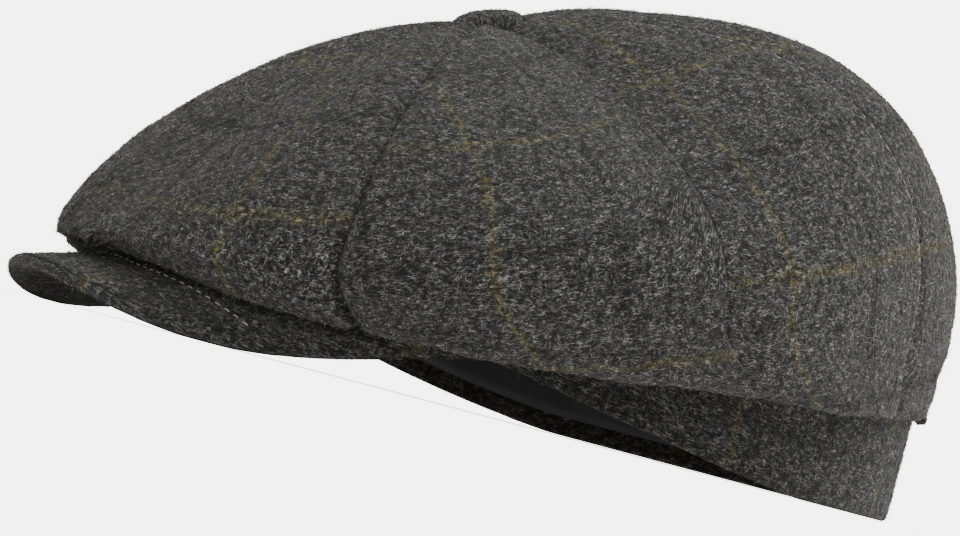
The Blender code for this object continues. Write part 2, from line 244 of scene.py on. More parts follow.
def cloth_sheet(name, points, repeats, material):
    """A sheet of cloth: a grid laid through rows of points, with its place in the check as UVs."""
    rows, columns = points.shape[:2]
    bpy.ops.object.select_all(action="DESELECT")
    bpy.ops.mesh.primitive_grid_add(x_subdivisions=columns - 1, y_subdivisions=rows - 1, size=1)
    piece = bpy.context.active_object
    piece.name = name
    mesh = piece.data
    mesh.name = name
    mesh.vertices.foreach_set("co", np.ascontiguousarray(points, dtype=np.float32).ravel())
    corners = read_all(mesh.loops, "vertex_index", 1, np.int32)[:, 0]
    laid = repeats.reshape(-1, 2)[corners].astype(np.float32)
    mesh.uv_layers.active.name = "UVMap"
    mesh.uv_layers.active.data.foreach_set("uv", laid.ravel())
    mesh.materials.append(material)
    mesh.update()
    bpy.ops.object.shade_smooth()
    return piece


def sew_closed(piece):
    """Join the two ends of a sheet that runs all the way round, where they lie on each other."""
    bpy.context.view_layer.objects.active = piece
    piece.select_set(True)
    bpy.ops.object.mode_set(mode="EDIT")
    bpy.ops.mesh.select_all(action="SELECT")
    bpy.ops.mesh.remove_doubles(threshold=0.00001)
    bpy.ops.object.mode_set(mode="OBJECT")


def thicken(piece, wall, rounded=0):
    """Give a sheet its wall on the inner side, and round its cut edges."""
    shell = piece.modifiers.new("wall", "SOLIDIFY")
    shell.thickness = wall
    shell.offset = -1.0
    shell.use_quality_normals = True
    bpy.context.view_layer.objects.active = piece
    bpy.ops.object.modifier_apply(modifier=shell.name)
    if rounded:
        soft = piece.modifiers.new("round", "SUBSURF")
        soft.levels = rounded
        soft.render_levels = rounded
        bpy.ops.object.modifier_apply(modifier=soft.name)


def dress(piece, slot, *nodes):
    """Show a piece, in place of the nodes of the frame that it stands for."""
    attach(piece, "root")
    if nodes:
        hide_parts(*nodes)


def strands(name, paths, radius, sides, material, shades, dyes=None):
    """Many small closed threads as one mesh: each path's ends are points, with rings of sides between."""
    count, steps = paths.shape[:2]
    along = unit(np.gradient(paths, axis=1))
    guide = np.where(np.abs(along[..., 2:]) > 0.8, [1.0, 0.0, 0.0], [0.0, 0.0, 1.0])
    first = unit(np.cross(along, guide))
    second = np.cross(along, first)
    turns = 2 * pi * np.arange(sides)[:, None] / sides
    ring = first[:, 1:-1, None] * np.cos(turns) + second[:, 1:-1, None] * np.sin(turns)
    rings = paths[:, 1:-1, None] + radius * ring
    points = np.concatenate([paths[:, :1], rings.reshape(count, -1, 3), paths[:, -1:]], axis=1)
    each = points.shape[1]
    faces = []
    for side in range(sides):
        after = (side + 1) % sides
        faces.append((0, 1 + after, 1 + side))
        last = 1 + (steps - 3) * sides
        faces.append((each - 1, last + side, last + after))
        for step in range(steps - 3):
            low = 1 + step * sides
            faces.append((low + side, low + after, low + sides + after))
            faces.append((low + side, low + sides + after, low + sides + side))
    faces = np.array(faces)[None] + (np.arange(count) * each)[:, None, None]
    mesh = bpy.data.meshes.new(name)
    mesh.from_pydata(points.reshape(-1, 3).tolist(), [], faces.reshape(-1, 3).tolist())
    tone = mesh.attributes.new("tone", "FLOAT", "POINT")
    tone.data.foreach_set("value", np.repeat(shades, each).astype(np.float32))
    if dyes is not None:
        ochre = mesh.attributes.new("ochre", "FLOAT", "POINT")
        ochre.data.foreach_set("value", np.repeat(dyes, each).astype(np.float32))
    mesh.materials.append(material)
    mesh.shade_smooth()
    piece = bpy.data.objects.new(name, mesh)
    bpy.context.scene.collection.objects.link(piece)
    return piece


def wool_fibre():
    """Loose wool: single fibres that stand out of the felted face, from charcoal to almost white."""
    material, tree, shader = new_material("loose_wool_fibre")
    tone = add_node(tree, "ShaderNodeAttribute", attribute_name="tone").outputs["Fac"]
    dyed = add_node(tree, "ShaderNodeAttribute", attribute_name="ochre").outputs["Fac"]
    inputs = {0: tone, 6: linear("#191919"), 7: linear("#9c9b96")}
    colour = add_node(tree, "ShaderNodeMix", inputs, data_type="RGBA").outputs[2]
    inputs = {0: dyed, 6: colour, 7: linear("#786724")}
    colour = add_node(tree, "ShaderNodeMix", inputs, data_type="RGBA").outputs[2]
    inputs = {0: colour, "Scale": clumps(tree)}
    shaded = add_node(tree, "ShaderNodeVectorMath", inputs, operation="SCALE").outputs[0]
    tree.links.new(shaded, shader.inputs["Base Color"])
    shader.inputs["Roughness"].default_value = 0.7
    shader.inputs["Specular IOR Level"].default_value = 0.3
    return material


chance = np.random.default_rng(7)

# The nap is short wool that lies on the face, and the stray hairs are single fibres that stand out of it.
# Both are drawn thicker than wool is, in tufts as thick as a few fibres, so that they show. stand is the
# steepest angle to the face, in radians.
Wool = namedtuple("Wool", "length radius stand steps")
NAP = Wool(0.0013, 0.00009, 0.4, 3)
HAIRS = Wool(0.0024, 0.000035, 1.1, 4)
FIBRE_SIDES = 3
FLOOR_CLEARANCE = 0.0005

# How wide the charcoal and the ochre of the check spread among the loose fibres, and the share dyed ochre
CHARCOAL_SPREAD_MM = 1.8
OCHRE_SPREAD_MM = 1.9
OCHRE_SHARE = 0.32


def fibre_roots(sheet, count):
    """Roots strewn evenly over a sheet: their places, the way out of the cloth, and the check there."""
    mesh = sheet.data
    mesh.calc_loop_triangles()
    corners = read_all(mesh.loop_triangles, "vertices", 3, np.int32)
    triangles = read_all(mesh.vertices, "co", 3, np.float32)[corners]
    square = np.cross(triangles[:, 1] - triangles[:, 0], triangles[:, 2] - triangles[:, 0])
    area = np.linalg.norm(square, axis=1)
    picked = chance.choice(len(area), count, p=area / area.sum())
    shares = chance.dirichlet((1, 1, 1), len(picked))[..., None]
    loops = read_all(mesh.loop_triangles, "loops", 3, np.int32)[picked]
    laid = read_all(mesh.uv_layers.active.data, "uv", 2, np.float32)[loops]
    return (triangles[picked] * shares).sum(1), square[picked] / area[picked, None], (laid * shares).sum(1)


def fuzz(name, sheets, wool, count):
    """Fibres rooted all over the outer faces of some sheets, most lying close and a few standing out."""
    roots = [fibre_roots(sheet, count // len(sheets)) for sheet in sheets]
    places, outwards, repeats = (np.concatenate(parts) for parts in zip(*roots))
    level = unit(np.cross(outwards, chance.normal(size=places.shape)))
    side = np.cross(outwards, level)
    lift = wool.stand * chance.beta(1.3, 3.0, len(places))[:, None]
    reach = wool.length * chance.uniform(0.5, 1.5, len(places))[:, None]
    bend = chance.normal(0.0, 0.35, len(places))[:, None]
    paths = []
    for share in np.linspace(0, 1, wool.steps):
        along = share * level + share ** 2 * bend * side
        up = np.sin(lift) * share ** 0.8 * reach + wool.radius * (1.6 * np.sin(pi * share) - 0.6)
        paths.append(places + reach * np.cos(lift) * along + up * outwards)
    paths = np.stack(paths, axis=1)
    charcoal = np.abs(repeats % 1.0 - 0.5).min(1) * REPEAT_MM
    ochre = np.abs((repeats + 0.5) % 1.0 - 0.5).min(1) * REPEAT_MM
    dark = 0.9 * np.exp(-(charcoal / CHARCOAL_SPREAD_MM) ** 2)
    shades = chance.beta(1.4, 1.9, len(paths)) * (1 - dark)
    ochre = ochre + chance.normal(0.0, 0.7, len(paths))
    dyes = np.exp(-(ochre / OCHRE_SPREAD_MM) ** 2) * (chance.uniform(size=len(paths)) < OCHRE_SHARE)
    clear = paths[..., 2].min(1) > FLOOR_CLEARANCE
    piece = strands(name, paths[clear], wool.radius, FIBRE_SIDES, loose_wool, shades[clear], dyes[clear])
    dress(piece, "wool_tweed")


tweed = woollen_tweed()
loose_wool = wool_fibre()


def band_sheet():
    """The band in two strips that meet at its back and its front, each with the check at its own height."""
    angles = np.linspace(0, 2 * pi, BAND_COLUMNS + 1)
    angles = np.insert(angles, BAND_COLUMNS // 2 + 1, pi + BACK_SEAM)
    edge = band_edge_height(angles)
    shares = np.linspace(0, 1, BAND_ROWS + 1)
    rows = [band_point(angles, edge + share * BAND_HEIGHT) + OPENING for share in shares]
    around = walked(rows[0]) * 1000 / REPEAT_MM + ROUND_START
    start = np.where(angles > pi, STRIP_STARTS[1], STRIP_STARTS[0])
    upward = shares[:, None] * BAND_HEIGHT * 1000 / REPEAT_MM + start
    repeats = np.stack(np.broadcast_arrays(around, upward), -1)
    return cloth_sheet("headband", np.array(rows), repeats, tweed)


headband = band_sheet()
sew_closed(headband)
fuzz("headband_nap", [headband], NAP, count=9000)
fuzz("headband_hairs", [headband], HAIRS, count=1200)
thicken(headband, BAND_WALL, rounded=1)
dress(headband, "wool_tweed", "band")

# Crown: eight gores of the tweed that meet under the button, cut full and drawn in to the band below, so
# the cloth puffs out over the band and turns under at a soft lip. Each seam is sewn with its edges pressed
# open inside, which leaves a narrow valley.

CLOTH = 0.002
FIT_GAP = 0.0003
CROWN_HEIGHT = 0.1052
FRONT_OVERHANG = 0.0487
SIDE_OVERHANG = 0.0347
BACK_OVERHANG = 0.0036
BUTTON_FORWARD = 0.0505
BUTTON_SLOPE = 0.27
LIP_ROUND = 0.7
TUCK_EASE = 0.4
PANELS = 8
PANEL_TURN = 2 * pi / PANELS
PANEL_PUFF = 0.0016
SEAM_SINK = 0.6
SEAM_VALLEY = 0.0013
SEAM_HALF_WIDTH = 0.0013
WORN_DEPTH = 0.0005
WORN_OFF_SEAMS = 0.01
CENTRE_HOLE = 0.025
PANEL_COLUMNS = 48
TOP_ROWS = 60
SIDE_ROWS = 40
TUCK_ROWS = 12

# The crown's widest line. forward, side and back are shares of the overhangs, height and shoulder are
# shares of CROWN_HEIGHT, and spread says how far the flat top runs out from the button.
Fold = namedtuple("Fold", "angle forward side back height shoulder rise spread")
CROWN_FOLD = (
    Fold(0, 1.00, 0.00, 0.0, 0.180, 0.06, 0.01, 0.42),
    Fold(45, 0.83, 0.63, 0.0, 0.285, 0.30, 0.03, 0.42),
    Fold(90, 0.38, 1.00, 0.0, 0.417, 0.23, -0.05, 0.46),
    Fold(135, 0.26, 0.69, 0.0, 0.473, 0.455, 0.13, 0.72),
    Fold(180, 0.00, 0.00, 1.0, 0.495, 0.45, 0.18, 0.66),
)

# The crown's lower lip, with height and tuck over the band's lower edge as shares of BAND_HEIGHT
Lip = namedtuple("Lip", "angle forward side back height tuck")
CROWN_LIP = (
    Lip(0, 0.75, 0.00, 0.0, -0.15, 0.55),
    Lip(45, 0.58, 0.57, 0.0, -0.14, 0.48),
    Lip(90, -0.07, 0.74, 0.0, 0.54, 0.74),
    Lip(135, 0.17, 0.40, 0.0, 0.82, 0.90),
    Lip(180, 0.00, 0.00, 0.4, 0.93, 0.95),
)

# Drape folds: angle from the front, place along the cloth, and half widths in degrees and along the
# cloth, with the depth as a share of CLOTH
Dent = namedtuple("Dent", "angle run across along depth")
CROWN_DENTS = (
    Dent(24, 1.45, 20, 0.20, 0.7),
    Dent(40, 0.84, 14, 0.16, 0.6),
    Dent(68, 1.55, 16, 0.22, 0.6),
    Dent(118, 1.30, 18, 0.22, 0.5),
    Dent(152, 0.72, 16, 0.14, 0.6),
)

# How deep each seam's valley is, from the front seam to the back one, as shares of SEAM_VALLEY
SEAM_DEPTHS = (0.10, 1.4, 0.35, 0.45, 0.6)

# How the check lies on each gore of the left side: the crossing of an ochre line down it and one across
# it, in millimetres from its middle and from the button, how each of the two slants and bows from there,
# and the repeat downwards. A gore is steamed to shape, so its lines are neither straight nor square. The
# pattern counts on from a whole number of repeats, which keeps its counts above zero.
WHOLE_REPEATS = 8.0
Check = namedtuple("Check", "across down lean bow slope curve repeat")
CROWN_CHECKS = (
    Check(12.5, 122.5, 0.04, -0.0030, 0.13, -0.0035, 74.7),
    Check(-19.7, 96.2, 0.29, -0.0012, -0.26, -0.0065, 68.0),
    Check(-24.0, 143.6, 0.034, 0.0020, -0.19, 0.0015, 80.0),
    Check(-14.0, 155.0, 0.1, 0.0, -0.1, 0.0, 76.0),
)


def odd_wave(rows, column, angle):
    """Read a column that changes sign across the cap's middle plane."""
    inner = rows[1:-1]
    places = np.radians([row.angle for row in inner])
    orders = np.arange(1, len(inner) + 1)
    values = [getattr(row, column) for row in inner]
    weights = np.linalg.solve(np.sin(np.outer(places, orders)), values)
    return np.sin(np.multiply.outer(angle, orders)) @ weights


def overhang_point(rows, angle, height):
    """A point that stands out from the band by the rows' shares of the overhangs."""
    point = band_point(angle, height)
    point[..., 0] += SIDE_OVERHANG * odd_wave(rows, "side", angle)
    forward = FRONT_OVERHANG * even_wave(rows, "forward", angle)
    backward = BACK_OVERHANG * even_wave(rows, "back", angle)
    point[..., 1] += backward - forward
    room = CLOTH + FIT_GAP
    level = np.hypot(point[..., 0] / (HALF_WIDTH + room), point[..., 1] / (HALF_LENGTH + room))
    point[..., :2] /= np.minimum(level, 1.0)[..., None]
    return point


def bezier(start, first, second, end, share):
    rest = 1 - share
    return (rest ** 3 * start + 3 * share * rest ** 2 * first
            + 3 * share ** 2 * rest * second + share ** 3 * end)


def crown_smooth(angle, run):
    """The crown without puff or dents. run is 0 at the button, 1 at the widest line, 2 at the lip and
    3 where the underside meets the band."""
    button = np.stack([0 * angle, 0 * angle - BUTTON_FORWARD, 0 * angle + CROWN_HEIGHT], -1)
    fold = overhang_point(CROWN_FOLD, angle, CROWN_HEIGHT * even_wave(CROWN_FOLD, "height", angle))
    edge = band_edge_height(angle)
    lip = overhang_point(CROWN_LIP, angle, edge + BAND_HEIGHT * even_wave(CROWN_LIP, "height", angle))
    behind = np.arctan2(lip[..., 0] / HALF_WIDTH, -lip[..., 1] / HALF_LENGTH)
    rise = BAND_HEIGHT * even_wave(CROWN_LIP, "tuck", angle)
    tuck = band_point(behind, band_edge_height(behind) + rise, FIT_GAP)
    up = np.array([0.0, 0.0, 1.0])

    top_first = button + even_wave(CROWN_FOLD, "spread", angle)[..., None] * (fold - button)
    lean = BUTTON_SLOPE * (top_first[..., 1] + BUTTON_FORWARD)
    top_first[..., 2] = CROWN_HEIGHT * (1 + even_wave(CROWN_FOLD, "rise", angle)) + lean
    top_second = fold + up * (CROWN_HEIGHT * even_wave(CROWN_FOLD, "shoulder", angle))[..., None]

    outward = [np.sin(behind) * HALF_LENGTH, -np.cos(behind) * HALF_WIDTH, 0.0 * behind]
    outward = unit(np.stack(outward, -1))
    roll = outward * ((fold - lip) * outward).sum(-1, keepdims=True)
    side_first = fold - up * (fold - lip)[..., 2:] / 2
    side_second = lip + LIP_ROUND * roll
    tuck_first = lip - (1 - LIP_ROUND) * roll
    tuck_second = tuck + TUCK_EASE * (lip - tuck)

    run = run[..., None]
    top = bezier(button, top_first, top_second, fold, np.clip(run, 0, 1))
    side = bezier(fold, side_first, side_second, lip, np.clip(run - 1, 0, 1))
    under = bezier(lip, tuck_first, tuck_second, tuck, np.clip(run - 2, 0, 1))
    return np.where(run < 1, top, np.where(run < 2, side, under))


def crown_face(angle, run):
    """The way out of the crown's smooth face, and how wide a radian of angle is there."""
    small = 0.002
    around = (crown_smooth(angle + small, run) - crown_smooth(angle - small, run)) / (2 * small)
    down = (crown_smooth(angle, run + small) - crown_smooth(angle, run - small)) / (2 * small)
    square = np.cross(down, around)
    return unit(square), np.linalg.norm(square, axis=-1) / np.linalg.norm(down, axis=-1)


def gentle_waves(angle, run):
    """The soft unevenness of worn wool, in shares of its depth, with no repeat that the eye finds."""
    return (np.sin(7.3 * angle + 5.1 * run) * np.sin(4.4 * run - 2.6 * angle)
            + 0.6 * np.sin(17.0 * angle - 7.7 * run + 1.1) * np.sin(9.5 * run + 6.1 * angle)
            + 0.35 * np.sin(31.0 * angle + 14.0 * run) * np.sin(23.0 * run - 12.0 * angle))


def crown_point(angle, run):
    """The crown's outer face, puffed between its seams, with its drape folds and seam valleys."""
    share = np.mod(angle, PANEL_TURN) / PANEL_TURN
    turned = np.abs(np.mod(angle + pi, 2 * pi) - pi)
    outward, width = crown_face(angle, run)
    free = np.sin(pi * np.clip(run / 2, 0, 1)) ** 0.5
    height = PANEL_PUFF * free * (np.abs(np.sin(pi * share)) - SEAM_SINK)
    for dent in CROWN_DENTS:
        across = (np.degrees(turned) - dent.angle) / dent.across
        along = (run - dent.run) / dent.along
        height = height - CLOTH * dent.depth * np.exp(-(across ** 2 + along ** 2))
    from_seam = np.minimum(share, 1 - share) * PANEL_TURN * width
    nearest = np.rint(turned / PANEL_TURN).astype(int)
    valley = SEAM_VALLEY * np.array(SEAM_DEPTHS)[nearest] * (0.4 + 0.6 * np.clip(run, 0, 1) ** 2)
    height = height - valley * np.exp(-(from_seam / SEAM_HALF_WIDTH) ** 2)
    free = np.clip(from_seam / WORN_OFF_SEAMS, 0, 1) * np.clip(run * 3, 0, 1) * np.clip(3 - run, 0, 1)
    height = height + WORN_DEPTH * gentle_waves(angle, run) * free
    return crown_smooth(angle, run) + height[..., None] * outward


def crown_panel(index):
    """One gore as a sheet, its rows closest at the lip and its columns closest at the seams."""
    even = np.linspace(-1, 1, PANEL_COLUMNS + 1)
    shares = 0.5 + 0.5 * (0.45 * even + 0.55 * np.sin(pi / 2 * even))
    side = np.linspace(0, 1, SIDE_ROWS + 1)[1:]
    runs = np.concatenate([
        np.linspace(CENTRE_HOLE, 1, TOP_ROWS + 1),
        1 + 0.5 * (side + np.sin(pi / 2 * side)),
        2 + np.linspace(0, 1, TUCK_ROWS + 1)[1:] ** 1.5,
    ])
    run, share = np.meshgrid(runs, shares, indexing="ij")
    points = crown_point((index + share) * PANEL_TURN, run)
    across = walked(points, axis=1) * 1000
    across -= across[:, -1:] / 2
    down = walked(points[:, PANEL_COLUMNS // 2])[:, None] * 1000
    left = index < PANELS // 2
    check = CROWN_CHECKS[index if left else PANELS - 1 - index]
    across = across if left else -across
    below = down - check.down
    from_line = across - check.across - check.lean * below - check.bow * below ** 2
    fade = np.clip(1 - 2 * below / check.repeat, 0, 1)
    from_cross = below - check.slope * from_line - check.curve * fade * from_line ** 2
    repeats = np.stack([from_line / REPEAT_MM, from_cross / check.repeat], -1) + WHOLE_REPEATS
    return cloth_sheet(f"crown_gore_{index + 1}", points[::-1] + OPENING, repeats[::-1], tweed)


gores = [crown_panel(index) for index in range(PANELS)]
for place in range(4):
    fuzz(f"crown_nap_{place + 1}", gores[place::4], NAP, count=17000)
    fuzz(f"crown_hairs_{place + 1}", gores[place::4], HAIRS, count=2500)
for index, gore in enumerate(gores):
    thicken(gore, CLOTH)
    dress(gore, "wool_tweed", f"crown_panel_{index + 1}")

# Button: a metal blank covered with a disc of the tweed, gathered under and sewn over the point where the
# gores meet. The cloth is drawn tight over its edge in small tucks.

BUTTON_DIAMETER = 0.019
BUTTON_HEIGHT = 0.004
BUTTON_TUCKS = 14
BUTTON_TILT = 0.34
BUTTON_SINK = 0.0008
BUTTON_TUCK_DEPTH = 0.00005
BUTTON_CHECK = 0.3
BUTTON_COLUMNS = 120
BUTTON_ROWS = 34

# The button's section from its underside to its middle: out and lift are shares of its radius and height
Turn = namedtuple("Turn", "out lift")
BUTTON_SECTION = (
    Turn(0.02, -0.50),
    Turn(0.78, -0.50),
    Turn(0.96, -0.20),
    Turn(1.02, 0.18),
    Turn(0.97, 0.52),
    Turn(0.82, 0.84),
    Turn(0.50, 1.10),
    Turn(0.02, 1.20),
)


def button_sheet():
    """The button's disc of cloth, drawn in under the blank, with its small tucks round the edge alone."""
    knots = np.linspace(0, 1, len(BUTTON_SECTION))
    places = np.linspace(0, 1, BUTTON_ROWS + 1)
    out = np.interp(places, knots, [turn.out for turn in BUTTON_SECTION])[:, None]
    lift = np.interp(places, knots, [turn.lift for turn in BUTTON_SECTION])[:, None]
    turns = np.linspace(0, 2 * pi, BUTTON_COLUMNS + 1)[None]
    edge = np.exp(-((out - 0.95) / 0.18) ** 2) * (lift < 0.8)
    radius = BUTTON_DIAMETER / 2 * out + BUTTON_TUCK_DEPTH * edge * np.sin(BUTTON_TUCKS * turns)
    x = radius * np.sin(turns)
    y = -radius * np.cos(turns)
    z = CROWN_HEIGHT - BUTTON_SINK + BUTTON_TILT * y + lift * BUTTON_HEIGHT
    points = np.stack([x, y - BUTTON_FORWARD, z], -1) + OPENING
    repeats = np.stack([x, y], -1) * 1000 / REPEAT_MM + BUTTON_CHECK
    return cloth_sheet("covered_button", points, repeats, tweed)


def close_ends(piece, lowest=-1.0):
    """Close the open ends of a piece that lie higher than a given height."""
    bpy.context.view_layer.objects.active = piece
    bpy.ops.object.mode_set(mode="EDIT")
    bpy.ops.mesh.select_all(action="DESELECT")
    bpy.ops.mesh.select_non_manifold()
    bpy.ops.object.mode_set(mode="OBJECT")
    for edge in piece.data.edges:
        edge.select = edge.select and piece.data.vertices[edge.vertices[0]].co.z > lowest
    for vertex in piece.data.vertices:
        vertex.select = vertex.select and vertex.co.z > lowest
    bpy.ops.object.mode_set(mode="EDIT")
    bpy.ops.mesh.fill_holes(sides=0)
    bpy.ops.object.mode_set(mode="OBJECT")


button = button_sheet()
sew_closed(button)
close_ends(button)
fuzz("button_nap", [button], NAP, count=420)
dress(button, "wool_tweed", "button")

# Peak: a short crescent of stiffener covered above and below with the tweed, its outer edge turned and
# pressed, topstitched beside the crown's lip with pale thread. It is sewn to the band along its root.

PEAK_REACH = 0.0618
PEAK_THICKNESS = 0.0035
PEAK_ARCH = 0.0006
PEAK_CORNER = 0.0025
PEAK_SPAN = radians(160)
PEAK_BLUNTNESS = 0.81
PEAK_GAP = 0.0007
PEAK_COLUMNS = 120
PEAK_ROWS = 22
PEAK_EDGE_ROWS = 7

# The cloth is filled out under the crown's lip: how high, and the share of the peak's half at which that
# starts and over which it grows
PEAK_FILL = 0.004
FILL_START = 0.10
FILL_GROWTH = 0.35

# The peak's half girth on the cloth, and the places of the ochre lines on it, in millimetres
PEAK_HALF_MM = 125
PEAK_LINE_ACROSS = 26
PEAK_LINE_AWAY = 20

# The height of the peak's lower side from its middle out to its corner, as shares of FRONT_LIFT
Arch = namedtuple("Arch", "share edge root")
PEAK_ARCHES = (
    Arch(0.0, 0.31, 0.95),
    Arch(0.44, 0.0, 0.99),
    Arch(0.70, 0.28, 0.90),
    Arch(1.0, 0.78, 0.78),
)


def peak_height(column, share):
    """Read a column of PEAK_ARCHES, smoothly from the peak's middle out to its corners."""
    squares = np.square([row.share for row in PEAK_ARCHES])
    lifts = [getattr(row, column) for row in PEAK_ARCHES]
    weights = np.linalg.solve(np.vander(squares, len(squares)), lifts)
    return np.maximum(0.0, FRONT_LIFT * np.vander(np.square(share), len(squares)) @ weights)


def peak_point(share, out):
    """A point on the peak's lower side: share runs from corner to corner, out from the root to the edge."""
    turn = share * pi / 2
    root = band_point(share * PEAK_SPAN / 2, peak_height("root", share), PEAK_GAP)
    corner = band_point(np.array(PEAK_SPAN / 2), 0.0, PEAK_GAP)
    tip = HALF_LENGTH + PEAK_REACH
    x = (corner[0] + PEAK_CORNER) * np.sin(turn)
    y = corner[1] - (tip + corner[1]) * np.maximum(np.cos(turn), 0.0) ** PEAK_BLUNTNESS
    edge = np.stack([x, y, peak_height("edge", share)], -1)
    point = root + out[..., None] * (edge - root)
    point[..., 2] += PEAK_ARCH * 4 * out * (1 - out) * np.cos(turn)
    return point


def peak_top(share, out):
    """A point on the peak's upper side, which the cloth under the crown's lip fills out at both sides."""
    point = peak_point(share, out)
    spread = np.clip((np.abs(share) - FILL_START) / FILL_GROWTH, 0, 1)
    filled = spread ** 2 * (3 - 2 * spread) * (1 - out ** 8) * np.sin(pi * np.minimum(out, 0.5))
    point[..., 2] += PEAK_THICKNESS + PEAK_FILL * filled
    return point


def peak_sheet():
    """The whole skin of the peak in one sheet: out along its top, round its edge and back below."""
    share = np.linspace(-1, 1, PEAK_COLUMNS + 1)
    reach = np.linspace(0, 1, PEAK_ROWS + 1)
    rows = [peak_top(share, 0 * share + out) for out in reach]
    middle = peak_point(share, 0 * share + 1) + [0, 0, PEAK_THICKNESS / 2]
    outward = middle - peak_point(share, 0 * share + 0.95)
    outward[:, 2] = 0.0
    outward = unit(outward)
    for turn in np.linspace(0, pi, PEAK_EDGE_ROWS + 2)[1:-1]:
        swell = PEAK_THICKNESS / 2 * (sin(turn) * outward + np.array([0, 0, cos(turn)]))
        rows.append(middle + swell - PEAK_THICKNESS / 4 * outward)
    rows += [peak_point(share, 0 * share + out) for out in reach[::-1]]
    rows.append(rows[0])
    rows = np.array(rows)
    away = walked(rows) * 1000 - PEAK_LINE_AWAY
    across = share * PEAK_HALF_MM - PEAK_LINE_ACROSS + 0 * away
    repeats = np.stack([across, away], -1) / REPEAT_MM + WHOLE_REPEATS
    return cloth_sheet("stitched_peak", rows[::-1] + OPENING, repeats[::-1], tweed)


peak = peak_sheet()
sew_closed(peak)
close_ends(peak)
fuzz("peak_nap", [peak], NAP, count=12000)
fuzz("peak_hairs", [peak], HAIRS, count=1500)
dress(peak, "wool_tweed", "peak")

# Lining: near-black acetate satin cut as a dome and sewn in along the band, 5.5 mm above its lower edge. It
# has no stiffening, so soft tucks run up from the seam.

LINING_WALL = 0.001
LINING_HEIGHT = 0.0992
LINING_SQUARENESS = 2.4
TURN_IN = 0.0055
LINING_COLUMNS = 180
LINING_FOOT_ROWS = 12
LINING_ROWS = 44
LINING_TUCKS = 26
TUCK_DEPTH = 0.006
ROUND_MM = 90
THREAD_GAP_MM = 0.8
RUMPLE_MM = 14


def lining_satin():
    """Acetate satin: close-woven filament yarn, smooth and near black, with a soft sheen along its tucks
    and thread lines too fine to see, drawn 0.8 mm apart so that they just show. Its colour is painted
    dark grey, lighter than near black, as painted light inside the cap, and lighter still where its
    rumples rise, as a painted sheen."""
    material, tree, shader = new_material("black_acetate_satin")
    repeats = add_node(tree, "ShaderNodeUVMap", uv_map="UVMap").outputs[0]
    inputs = {"Vector": repeats, "Scale": REPEAT_MM / THREAD_GAP_MM, "Distortion": 0.4, "Detail": 1.0}
    threads = add_node(tree, "ShaderNodeTexWave", inputs, bands_direction="DIAGONAL").outputs["Fac"]
    inputs = {"Vector": repeats, "Scale": REPEAT_MM / RUMPLE_MM}
    rumple_and_sheen = add_node(tree, "ShaderNodeTexNoise", inputs).outputs[0]
    # Painted light: dark grey in place of near black, and lighter where the rumpled folds rise, as a
    # painted sheen
    colours = {0: rumple_and_sheen, 6: linear("#38383a"), 7: linear("#4c4c4e")}
    colour = add_node(tree, "ShaderNodeMix", colours, data_type="RGBA").outputs[2]
    tree.links.new(colour, shader.inputs["Base Color"])
    weave = add_node(tree, "ShaderNodeBump", {"Height": threads, "Strength": 0.12, "Distance": 0.0002})
    folds = {"Height": rumple_and_sheen, "Strength": 0.5, "Distance": 0.002, "Normal": weave.outputs[0]}
    tree.links.new(add_node(tree, "ShaderNodeBump", folds).outputs[0], shader.inputs["Normal"])
    shader.inputs["Roughness"].default_value = 0.48
    shader.inputs["Sheen Weight"].default_value = 0.1
    return material


def lining_sheet():
    angles = np.linspace(0, 2 * pi, LINING_COLUMNS + 1)
    inset = BAND_WALL + FIT_GAP
    foot = band_edge_height(angles) + TURN_IN
    shoulder = band_edge_height(angles) + BAND_HEIGHT
    power = 2 / LINING_SQUARENESS
    tucks = TUCK_DEPTH * (1 + np.sin(LINING_TUCKS * angles + np.sin(5 * angles)))
    rows = []
    for share in np.linspace(0, 1, LINING_FOOT_ROWS):
        rows.append(band_point(angles, foot + share * (shoulder - foot), -inset))
    for turn in np.linspace(0, pi / 2, LINING_ROWS + 1)[1:-1]:
        row = band_point(angles, shoulder + sin(turn) ** power * (LINING_HEIGHT - shoulder), -inset)
        row[:, :2] *= (cos(turn) ** power * (1 - sin(turn) * tucks))[:, None]
        rows.append(row)
    rows = np.array(rows)
    away = walked(rows) * 1000
    repeats = np.stack([angles * ROUND_MM + 0 * away, away], -1) / REPEAT_MM
    return cloth_sheet("satin_lining", rows + OPENING, repeats, lining_satin())


lining = lining_sheet()
sew_closed(lining)
close_ends(lining, LINING_HEIGHT / 2)
thicken(lining, LINING_WALL)
lining_nodes = [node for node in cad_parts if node.startswith("lining")]
dress(lining, "lining_cloth", *lining_nodes)

# Topstitching: pale grey polyester thread in dashes 2.1 mm long every 3.6 mm. One row follows the crown's
# lip on the peak, and one lies in front of each seam at the crown's back corners.

STITCH_LENGTH = 0.0021
STITCH_PITCH = 0.0036
STITCH_UNEVENNESS = 0.0002
STITCH_POINTS = 7
THREAD_RADIUS = 0.00017
THREAD_SIDES = 6
TWIST_SIZE = 0.0006
LIP_CLEAR = 0.0032
LIP_SINK = 0.9
SEAM_ROW_CLEAR = 0.0022
SEAM_ROW_SINK = 2.2
BACK_CORNER_SEAMS = (135, 225)


def stitches(name, line, outward, sink):
    """Dashes at even steps along a line, each arched over the cloth and sunk by so many of its radii."""
    steps = walked(line)
    starts = np.arange(STITCH_PITCH / 2, steps[-1] - STITCH_LENGTH, STITCH_PITCH)
    starts = starts + chance.uniform(-STITCH_UNEVENNESS, STITCH_UNEVENNESS, len(starts))
    shares = np.linspace(0, 1, STITCH_POINTS)
    places = starts[:, None] + shares * STITCH_LENGTH
    points = np.stack([np.interp(places, steps, line[:, axis]) for axis in range(3)], -1)
    away = np.stack([np.interp(places, steps, outward[:, axis]) for axis in range(3)], -1)
    arch = THREAD_RADIUS * (1.9 * np.sin(pi * shares) ** 0.5 - sink)
    paths = points + arch[:, None] * away
    return strands(name, paths, THREAD_RADIUS, THREAD_SIDES, thread, np.full(len(starts), 0.5))


